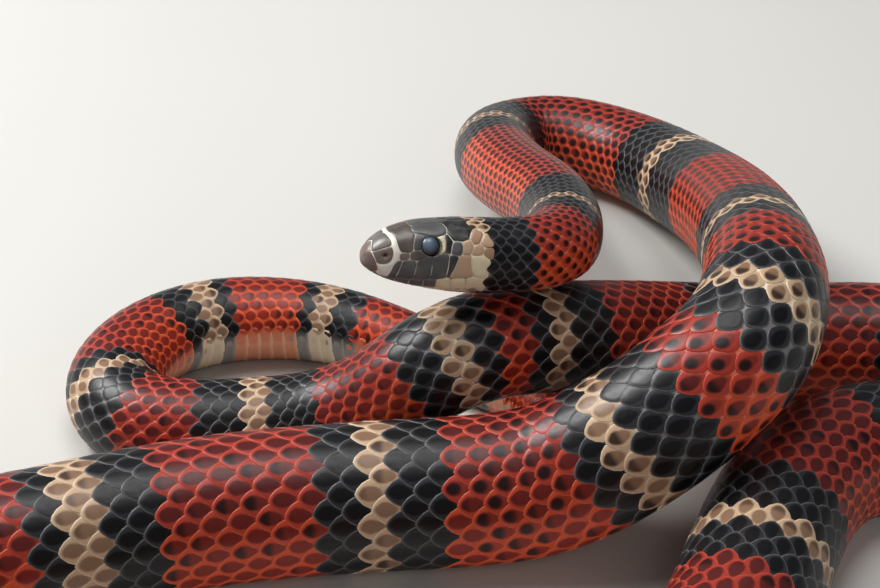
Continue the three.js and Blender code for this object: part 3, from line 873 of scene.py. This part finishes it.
# The plates of one side, from the snout back over crown, cheek and temple, then along the upper lip.
side_plates = [
    (SNOUT_PLATE, [(1.85, 0.003), (3.8, 0.003), (4.0, 0.03), (4.2, 0.08), (4.5, 0.12), (4.5, 0.148),
                   (3.4, 0.158), (2.2, 0.16), (1.45, 0.155), (1.28, 0.12), (1.35, 0.06)]),
    (RED_PLATE, [(1.6, 0.168), (3.3, 0.167), (4.5, 0.157), (4.85, 0.2), (4.7, 0.245), (4.0, 0.275),
                 (3.0, 0.28), (2.4, 0.275), (1.95, 0.24)]),
    (BROWN_PLATE, [(4.5, 0.004), (8.4, 0.004), (8.15, 0.05), (8.1, 0.07), (8.55, 0.108), (8.3, 0.145),
                   (8.05, 0.197), (6.6, 0.2), (5.9, 0.19), (5.5, 0.155), (5.4, 0.12), (5.0, 0.07),
                   (4.6, 0.03)]),
    (RED_PLATE, [(6.1, 0.2), (6.8, 0.207), (7.6, 0.207), (7.5, 0.24), (6.3, 0.243), (5.9, 0.235)]),
    (GREY_PLATE, [(8.85, 0.112), (9.7, 0.11), (10.6, 0.116), (11.6, 0.16), (9.9, 0.187), (8.35, 0.187),
                  (8.6, 0.145)]),
    (BROWN_PLATE, [(8.1, 0.2), (10.0, 0.195), (11.4, 0.17), (10.8, 0.224), (9.3, 0.239), (8.0, 0.242)]),
    (GREY_PLATE, [(8.55, 0.052), (12.0, 0.046), (14.2, 0.04), (14.6, 0.07), (14.7, 0.1), (13.6, 0.116),
                  (12.0, 0.14), (10.4, 0.108), (9.4, 0.1), (8.6, 0.096)]),
    (DARK_PLATE, [(15.9, 0.006), (14.5, 0.036), (14.9, 0.065), (15.0, 0.105), (15.6, 0.143), (17.3, 0.145),
                  (18.7, 0.133), (19.3, 0.1), (19.5, 0.05), (19.1, 0.006)]),
    (CREAM_PLATE, [(12.4, 0.145), (13.4, 0.122), (14.0, 0.122), (14.3, 0.16), (14.1, 0.197), (13.2, 0.2),
                   (12.2, 0.18)]),
    (DARK_PLATE, [(14.15, 0.12), (14.85, 0.112), (15.4, 0.148), (15.2, 0.2), (14.3, 0.2), (14.5, 0.16)]),
    (GREY_PLATE, [(15.65, 0.153), (17.2, 0.152), (17.5, 0.175), (17.2, 0.202), (15.4, 0.203)]),
    (TAN_PLATE, [(17.5, 0.154), (18.9, 0.138), (19.5, 0.165), (19.0, 0.192), (17.5, 0.205), (17.7, 0.175)]),
    (BROWN_TAN_PLATE, [(19.0, 0.132), (19.7, 0.102), (21.0, 0.098), (21.5, 0.125), (20.6, 0.152),
                       (19.6, 0.161)]),
    (TAN_PLATE, [(19.65, 0.168), (20.6, 0.157), (21.4, 0.17), (21.3, 0.198), (20.1, 0.207),
                 (19.15, 0.197)]),
    (TAN_PLATE, [(21.6, 0.13), (22.6, 0.112), (23.3, 0.14), (22.9, 0.168), (21.6, 0.166), (20.8, 0.153)]),
    (BROWN_TAN_PLATE, [(21.6, 0.174), (22.8, 0.173), (23.4, 0.19), (22.7, 0.215), (21.6, 0.203)]),
    (WHITE_PLATE, [(3.95, 0.006), (4.4, 0.006), (4.55, 0.03), (4.9, 0.07), (5.25, 0.12), (5.4, 0.155),
                   (5.8, 0.19), (5.85, 0.235), (5.5, 0.25), (4.95, 0.268), (4.75, 0.3),
                   *lip_edge((4.3, 3.2), UPPER), (3.0, 0.292), (4.0, 0.283), (4.75, 0.25), (4.9, 0.2),
                   (4.7, 0.15), (4.6, 0.12), (4.35, 0.07), (4.1, 0.03)]),
    (GREY_PLATE, [(5.1, 0.268), (5.7, 0.25), (6.5, 0.25), (6.1, 0.3), *lip_edge((5.7, 4.6), UPPER),
                  (4.9, 0.3)]),
    (GREY_PLATE, [(6.7, 0.251), (7.9, 0.25), (9.1, 0.247), (9.0, 0.3), *lip_edge((8.8, 7.3, 5.9), UPPER),
                  (6.3, 0.3)]),
    (GREY_PLATE, [(9.3, 0.245), (10.4, 0.232), (11.7, 0.21), (11.95, 0.26),
                  *lip_edge((11.9, 10.5, 9.0), UPPER), (9.2, 0.3)]),
    (GREY_PLATE, [(11.9, 0.21), (13.3, 0.208), (14.9, 0.212), (14.95, 0.26),
                  *lip_edge((14.7, 13.4, 12.1), UPPER), (12.1, 0.26)]),
    (BLUE_PLATE, [(15.1, 0.214), (16.8, 0.213), (15.95, 0.27), *lip_edge((15.3, 14.9), UPPER),
                  (15.1, 0.27)]),
    (TAN_PLATE, [(17.0, 0.214), (18.9, 0.208), (19.4, 0.27), *lip_edge((19.8, 17.6, 15.5), UPPER),
                 (16.2, 0.27)]),
    (CREAM_PLATE, [(19.1, 0.21), (20.3, 0.212), (21.6, 0.205), (22.4, 0.23), (22.4, 0.27),
                   *lip_edge((21.4, 20.0), UPPER), (19.6, 0.27)]),
]
LOWER_LIP_SEAMS = [1.5, 3.4, 5.8, 8.3, 10.9, 13.2, 15.8, 18.6, 21.2]
LOWER_LIP_LEAN = 0.4
GREY_LOWER_LIPS = 5
for number, (start, end) in enumerate(zip(LOWER_LIP_SEAMS, LOWER_LIP_SEAMS[1:])):
    top = (start, (start + end) / 2, end)
    foot = [back + LOWER_LIP_LEAN for back in reversed(top)]
    tone = LIP_PLATE if number < GREY_LOWER_LIPS else CREAM_PLATE
    side_plates.append((tone, lip_edge(top, LOWER) + lip_edge(foot, LOWER_LIP_DEPTH)))
for start, end, tone in ((3.3, 7.6, GREY_PLATE), (7.9, 12.4, CREAM_PLATE)):
    side_plates.append((tone, [(start, 0.495), (start + 0.5, 0.462), (end - 0.6, 0.455), (end, 0.475),
                               (end - 0.3, 0.495)]))

# The plates on the middle line, one on the crown and one at the tip of the chin.
middle_plates = [
    (GREY_PLATE, [(8.55, -0.043), (8.55, 0.043), (12.0, 0.038), (14.2, 0.03), (15.6, 0.0), (14.2, -0.03),
                  (12.0, -0.038)]),
    (GREY_PLATE, [(1.5, 0.42), (1.35, 0.5), (1.5, 0.58), (2.4, 0.56), (3.0, 0.5), (2.4, 0.44)]),
]


def eased(edge, passes):
    """A closed line of points, or a round of values, with its corners smoothed."""
    for _ in range(passes):
        edge = (np.roll(edge, 1, axis=0) + 2 * edge + np.roll(edge, -1, axis=0)) / 4
    return edge


def plate_outline(corners):
    """The plate's edge on the chart in mm, closely spaced, with its corners eased."""
    ring = np.array([(back, share * HEAD_ROUND) for back, share in corners])
    dense = []
    for here, there in zip(ring, np.roll(ring, -1, axis=0)):
        count = max(2, int(np.linalg.norm(there - here) / OUTLINE_STEP))
        dense += [here + (there - here) * k / count for k in range(count)]
    edge = eased(np.array(dense), 2)
    area = np.sum(edge[:, 0] * np.roll(edge[:, 1], -1) - edge[:, 1] * np.roll(edge[:, 0], -1))
    return edge if area > 0 else edge[::-1]


def inside(points, edge):
    """Which of the points lie within a closed edge."""
    x, y = points[:, 0][:, None], points[:, 1][:, None]
    x0, y0 = edge[:, 0], edge[:, 1]
    x1, y1 = np.roll(x0, -1), np.roll(y0, -1)
    crosses = ((y0 > y) != (y1 > y)) & (x < (x1 - x0) * (y - y0) / np.where(y1 == y0, 1e-9, y1 - y0) + x0)
    return crosses.sum(axis=1) % 2 == 1


def from_edge(points, edge):
    """How far each point is from a closed edge."""
    a, b = edge, np.roll(edge, -1, axis=0)
    span = b - a
    t = np.clip(((points[:, None] - a) * span).sum(axis=2) / np.maximum((span**2).sum(axis=1), 1e-12), 0, 1)
    return np.linalg.norm(points[:, None] - (a + t[:, :, None] * span), axis=2).min(axis=1)


def plate_height(depth):
    """How high a plate stands over the skin at a distance from its edge, where it dips under it."""
    rise = 1 - (1 - np.clip(depth / PLATE_EDGE, 0, 1)) ** 2
    return -PLATE_SUNK + (PLATE_SUNK + PLATE_RISE) * rise


plates = {"points": [], "faces": [], "paint": [], "spot": [], "root": []}
# The unwrap of the head: its length in mm, where its shares begin, how many there are, and the mm
# of a plate to one patch.
UNWRAP_LENGTH, UNWRAP_FROM, UNWRAP_SHARES, UNWRAP_PATCH = 30, -0.56, 1.3, 3


def add_plate(flat, tops, rim, tone, depths):
    """Adds one closed plate: its top, and a wall down from its rim to a floor under the skin."""
    start = len(plates["points"])
    floor_start, count = start + len(flat), len(rim)
    places = np.vstack([flat, np.array(flat)[rim]])
    heights = [*plate_height(np.array(depths)), *[-PLATE_FLOOR] * count]
    plates["points"] += [(x, y / HEAD_ROUND, z) for (x, y), z in zip(places, heights)]
    plates["faces"] += [tuple(start + k for k in face) for face in tops]
    for k in range(count):
        n = (k + 1) % count
        plates["faces"].append((start + rim[k], floor_start + k, floor_start + n, start + rim[n]))
    plates["faces"].append(tuple(floor_start + k for k in reversed(range(count))))
    middle = np.mean(flat, axis=0)
    lengthwise = drawn_in(middle[0] / UNWRAP_LENGTH, 0.03)
    around = drawn_in((middle[1] / HEAD_ROUND - UNWRAP_FROM) / UNWRAP_SHARES, 0.03)
    plates["root"] += [(lengthwise, around, 0)] * len(places)
    shares = abs(places[:, 1] / HEAD_ROUND)
    # Painted shade: the plates are darkened round each nostril, where its opening dips into the snout.
    from_nostril = np.hypot(places[:, 0] - NOSTRIL_AT, (shares - NOSTRIL_SHARE) * SNOUT_ROUND)
    hole = NOSTRIL_DARKNESS * np.exp(-(from_nostril / NOSTRIL_RADIUS) ** 3)[:, None]
    plates["paint"] += list(np.array(tone[:3]) * (1 - hole) + np.array(NOSTRIL_SHADE_PAINT[:3]) * hole)
    spots = (places - middle) / UNWRAP_PATCH
    plates["spot"] += [(depth, x, y) for (x, y), depth in zip(spots, [*depths, *[0] * count])]


# Share of the way round, and how far back the plate at the tip of the snout reaches there in mm.
TIP_EDGE = [(0, 1.75), (0.1, 1.25), (0.15, 1.15), (0.2, 1.45), (0.25, 1.85), (0.3, 2.3), (0.34, 2.6),
            (0.385, 2.5), (0.42, 1.5), (0.5, 1.15)]


def tip_reach(shares):
    """How far back the plate at the tip of the snout reaches, at shares of the way round."""
    return between(TIP_EDGE, abs((shares + 0.5) % 1 - 0.5))


def away_from(edge):
    """Unit vectors that point out of a closed edge, at each of its points."""
    heading = unit(np.roll(edge, -1, axis=0) - np.roll(edge, 1, axis=0))
    return np.column_stack([heading[:, 1], -heading[:, 0]])


def keep_off_eyes(edge):
    """Pushes the edge out of the openings that the plates leave for the eyes."""
    opening = EYE_OPENING + SEAM / 2
    for sign in (1, -1):
        eye_middle = EYE_ON_CHART * (1, sign)
        from_eye = edge - eye_middle
        reach = np.linalg.norm(from_eye, axis=1)
        near = reach < opening
        edge[near] = eye_middle + from_eye[near] / np.maximum(reach[near], 0.05)[:, None] * opening
    return edge


def grow(edge, others, fixed):
    """Moves an edge outwards, or back where it is covered, until a seam parts it from what is near."""
    low, high = edge.min(axis=0) - 1, edge.max(axis=0) + 1
    close = [p for other in others for p in other if (p > low).all() and (p < high).all()]
    tree = KDTree(len(close) + len(fixed))
    for i, p in enumerate(close + fixed):
        tree.insert((p[0], p[1], 0), i)
    tree.balance()
    covered = edge[:, 0] < tip_reach(edge[:, 1] / HEAD_ROUND)
    for other in others:
        if (other.max(axis=0) > low).all() and (other.min(axis=0) < high).all():
            covered |= inside(edge, other)
    moves = np.zeros(len(edge))
    for i, p in enumerate(edge):
        _, nearest, gap = tree.find((p[0], p[1], 0))
        if covered[i]:
            gap = -gap
        if gap < REACH:
            # Two plates share a gap, but only the plate moves at an eye or at the snout's tip.
            share = 1 if nearest >= len(close) else 2
            moves[i] = np.clip((gap - SEAM) / share, -MOST_MOVE, MOST_MOVE)
    return keep_off_eyes(eased(edge + away_from(edge) * eased(moves, 1)[:, None], 1))


def meet(outlines):
    """Grows every plate until neighbours are one seam apart, also round the eyes and the snout's tip."""
    bearings = np.linspace(0, 2 * math.pi, 60)[:-1]
    eye_ring = [EYE_OPENING * np.array([math.cos(b), math.sin(b)]) for b in bearings]
    fixed = [EYE_ON_CHART * (1, sign) + point for sign in (1, -1) for point in eye_ring]
    fixed += [np.array([tip_reach(share), share * HEAD_ROUND]) for share in np.linspace(-0.5, 0.7, 240)]
    for _ in range(MEET_PASSES):
        outlines = [grow(edge, outlines[:k] + outlines[k + 1:], fixed) for k, edge in enumerate(outlines)]
    return outlines


def flat_plate(edge, tone):
    """Fills an outline with triangles and adds it as a plate."""
    low, high = edge.min(axis=0), edge.max(axis=0)
    lines = np.arange(low[1], high[1], PLATE_ROW_STEP)
    grid = np.array([(x + (line % 2) * PLATE_STEP / 2, y) for line, y in enumerate(lines)
                     for x in np.arange(low[0], high[0], PLATE_STEP)])
    nostril = np.array([NOSTRIL_AT, math.copysign(NOSTRIL_SHARE * HEAD_ROUND, grid[0][1])])
    bearings = np.linspace(0, 2 * math.pi, 13)[:-1]
    round_nostril = np.column_stack([NOSTRIL_SLIMNESS * np.cos(bearings), np.sin(bearings)])
    grid = np.vstack([grid] + [nostril + size * round_nostril for size in NOSTRIL_RINGS])
    filling = [edge, grid[inside(grid, edge) & (from_edge(grid, edge) > CLEAR_OF_EDGE)]]
    for inset, least in EDGE_RINGS:
        ring = edge - away_from(edge) * inset
        filling.append(ring[inside(ring, edge) & (from_edge(ring, edge) > least)])
    order = list(range(len(edge)))
    corners = [Vector(p) for p in np.vstack(filling)]
    found, _, triangles, source, _, _ = delaunay_2d_cdt(corners, [], [order], 1, 1e-5)
    flat = np.array([tuple(v) for v in found])
    place = {k: i for i, group in enumerate(source) for k in group}
    add_plate(flat, triangles, [place[k] for k in order if k in place], tone, from_edge(flat, edge))


def mirrored(corners):
    """The same outline on the head's other side, round the crown, or round the chin if it lies there."""
    low = max(share for _, share in corners) > 0.45
    return [(back, (1 if low else 0) - share) for back, share in reversed(corners)]


all_plates = list(middle_plates)
for tone, corners in side_plates:
    all_plates += [(tone, corners), (tone, mirrored(corners))]
for (tone, _), edge in zip(all_plates, meet([plate_outline(corners) for _, corners in all_plates])):
    flat_plate(edge, tone)

# The plate at the tip of the snout wraps round it, so it is drawn as rings about the tip. Each ring
# is a share of the way out to the plate's edge.
TIP_COLUMNS = 56
TIP_RINGS = (1, 0.93, 0.84, 0.7, 0.5, 0.3, 0.12)
tip_shares = np.arange(TIP_COLUMNS) / TIP_COLUMNS - 0.5
tip_edge = tip_reach(tip_shares)
flat = [(reach * r, share * HEAD_ROUND) for r in TIP_RINGS for reach, share in zip(tip_edge, tip_shares)]
flat.append((CHART_TIP + 0.001, 0.0))
depths = [reach * (1 - r) for r in TIP_RINGS for reach in tip_edge] + [1.0]
tops = []
for c in range(TIP_COLUMNS):
    n = (c + 1) % TIP_COLUMNS
    for r in range(len(TIP_RINGS) - 1):
        a, b = r * TIP_COLUMNS, (r + 1) * TIP_COLUMNS
        tops.append((a + c, a + n, b + n, b + c))
    end = (len(TIP_RINGS) - 1) * TIP_COLUMNS
    tops.append((end + c, end + n, len(flat) - 1))
add_plate(flat, tops, list(range(TIP_COLUMNS)), RED_PLATE, depths)

plate_finish, tree, shader = new_finish("head plates")
depth, _, _ = parts(read(tree, "spot", "Vector"))
tone = read(tree, "paint", "Color")
grain = noise(tree, 420, 4)
streak = ease(grain, 0.42, 0.72)
plate_colour = blend(streak * 0.22, tone, paint(150, 142, 134))
pale_rim = (1 - ease(depth, 0.0, 0.13)) * 0.35
plate_colour = blend(pale_rim, plate_colour, paint(176, 166, 152))
connect(plate_colour, shader, "Base Color")
connect(0.24 + grain * 0.2, shader, "Roughness")
connect(bump(noise(tree, 1500, 3), 0.12, 0.0001), shader, "Normal")

head_shape = mesh_of("head_plate_shapes", plates["points"], plates["faces"], in_mm=False)
for key in ("paint", "spot", "root"):
    give(head_shape.data, key, plates[key], "FLOAT_VECTOR")
one_root = {"along": [0.0], "share": [0.0], "long": [1.0], "wide": [1.0], "thick": [1.0]}
head_plates = lay_over_body("head_plates", one_root, head_shape, plate_finish)
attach(head_plates, "root")

# The eye lies under a clear fixed cap, clouded grey-blue as it is before the skin is shed. It is a ball set
# in the skin's socket, and only its cap shows between the plates. A painted highlight lightens the cap
# towards the front, top and outer side, and painted shade darkens it towards its edge.
EYE_RADIUS = 2.1
# The side, in the head's own frame, towards which the cap is painted lightest: a painted highlight.
HIGHLIGHT_TOWARD = (0.3, 0.85, 0.43)
eye_finish, tree, shader = new_finish("grey-blue eye cap, painted highlight")
# Painted highlight and painted shade: the cap is lighter where it faces that side and darker towards its
# edge.
painted_highlight = ease(read(tree, "painted_highlight") + (noise(tree, 260, 3) - 0.5) * 0.2, 0.5, 1.1)
connect(blend(painted_highlight, paint(22, 27, 35), paint(96, 111, 130)), shader, "Base Color")
shader.inputs["Roughness"].default_value = 0.26
for sign, name in ((1, "eye_left"), (-1, "eye_right")):
    bpy.ops.mesh.primitive_uv_sphere_add(segments=40, ring_count=24, radius=EYE_RADIUS * MM)
    eye = bpy.context.object
    eye.name = name + "_cap"
    at = Vector(centre[0]) + HEAD_TURN @ Vector((EYE_AT[0], sign * EYE_AT[1], EYE_AT[2]))
    highlight_toward = Vector((HIGHLIGHT_TOWARD[0], sign * HIGHLIGHT_TOWARD[1], HIGHLIGHT_TOWARD[2]))
    # How far each point of the cap faces the side of the painted highlight.
    give(eye.data, "painted_highlight", [vertex.co.normalized() @ highlight_toward for vertex in eye.data.vertices])
    eye.data.transform(HEAD_TURN.to_4x4())
    for vertex in eye.data.vertices:
        vertex.co += at * MM
    eye.data.shade_smooth()
    eye.data.materials.append(eye_finish)
    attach(eye, "root")
    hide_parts(name)

for pattern in (chart, back_scale, belly_scale, head_shape):
    bpy.data.objects.remove(pattern)

# A plain pale floor lies under the animal. Three soft round lamps and a faint sky light it, from
# above, from behind on the left, and weakly from in front.
FLOOR_HALF = 1.5
floor_corners = [(x * FLOOR_HALF, y * FLOOR_HALF, 0) for x, y in ((-1, -1), (1, -1), (1, 1), (-1, 1))]
floor = mesh_of("floor", floor_corners, [(0, 1, 2, 3)], in_mm=False)
floor_finish, tree, shader = new_finish("pale floor")
connect(blend(noise(tree, 6), paint(192, 190, 185), paint(200, 198, 193)), shader, "Base Color")
shader.inputs["Roughness"].default_value = 0.85
floor.data.materials.append(floor_finish)


def soft_light(name, place, size, power, shines=True):
    light = bpy.data.lights.new(name, "AREA")
    light.shape = "DISK"
    light.size = size
    light.energy = power
    lamp = bpy.data.objects.new(name, light)
    lamp.location = place
    lamp.rotation_euler = (Vector((0.02, 0.0, 0.0)) - lamp.location).to_track_quat("-Z", "Y").to_euler()
    lamp.visible_glossy = shines
    bpy.context.collection.objects.link(lamp)


soft_light("overhead", Vector((0.0, 0.1, 0.9)), 0.55, 4)
soft_light("key", Vector((-0.5, 0.25, 0.6)), 0.35, 7.5)
soft_light("fill", Vector((0.3, -0.8, 0.5)), 0.7, 1.8, shines=False)
sky = bpy.data.worlds.new("studio")
sky.use_nodes = True
background = sky.node_tree.nodes["Background"]
background.inputs["Color"].default_value = (0.9, 0.95, 1.0, 1)
background.inputs["Strength"].default_value = 0.17
bpy.context.scene.world = sky
bpy.context.scene.view_settings.view_transform = "Standard"
